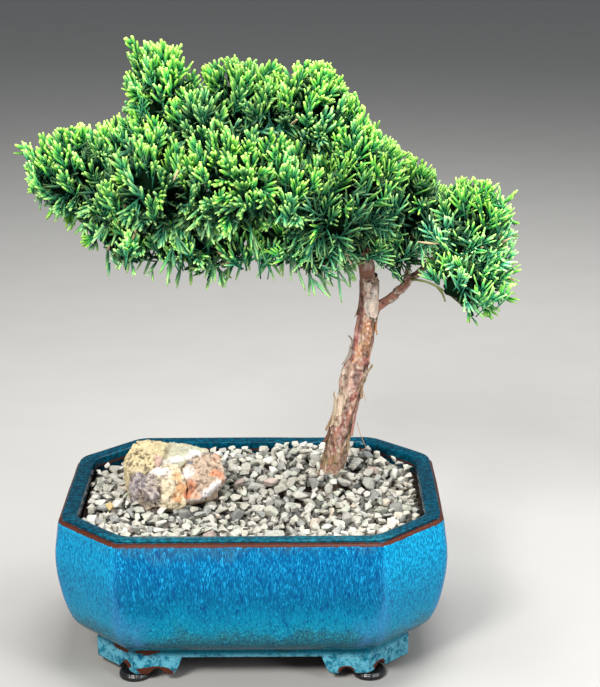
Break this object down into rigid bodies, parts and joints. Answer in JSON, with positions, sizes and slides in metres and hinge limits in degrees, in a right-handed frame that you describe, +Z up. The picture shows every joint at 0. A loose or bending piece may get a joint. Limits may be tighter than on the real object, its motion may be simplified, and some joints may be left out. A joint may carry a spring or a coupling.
{
  "type": "bonsai tree in a pot",
  "caption": "Small leaning juniper bonsai with a wide layered crown, in a rectangular glazed pot with cut corners, gravel top and a pale rock.",
  "frame": {"origin": "bottom centre of the box round the whole object, on the surface that the pot's rubber pads stand on", "axes": "+X to the right as the pot's long side is seen from the front, +Y to the back, +Z up"},
  "size_m": [0.2664, 0.1574, 0.3274],
  "materials": {
    "glazed_pot": "gloss blue-teal glaze with brown breaks on the edges",
    "rubber_pad": "black, slightly glossy",
    "drain_mesh": "matte black net",
    "soil": "dark, crumbly bark mix",
    "gravel": "dry crushed stone, light warm grey",
    "rock": "rough pitted pale rock, cream with orange and pink",
    "bark": "flaking red-brown and grey bark",
    "foliage": "fresh green scale leaves with yellow-green tips"
  },
  "bodies": {
    "root": {"pot": "glazed_pot", "rubber_pad_back_right": "rubber_pad", "rubber_pad_back_left": "rubber_pad", "rubber_pad_front_left": "rubber_pad", "rubber_pad_front_right": "rubber_pad", "drain_mesh_left": "drain_mesh", "drain_mesh_right": "drain_mesh", "soil": "soil", "gravel": "gravel", "rock": "rock", "trunk": "bark", "foliage_crown_left": "foliage", "foliage_left_end": "foliage", "foliage_lower_left": "foliage", "foliage_lower_mid": "foliage", "foliage_front_left": "foliage", "foliage_front_centre": "foliage", "foliage_top_centre": "foliage", "foliage_top_right": "foliage", "foliage_right_slope": "foliage", "foliage_right_mid": "foliage", "foliage_right_end": "foliage", "foliage_right_low": "foliage", "foliage_centre_low": "foliage", "foliage_front_right": "foliage", "foliage_back_left": "foliage", "foliage_back_mid": "foliage", "foliage_back_right": "foliage"}
  },
  "joints": []
}
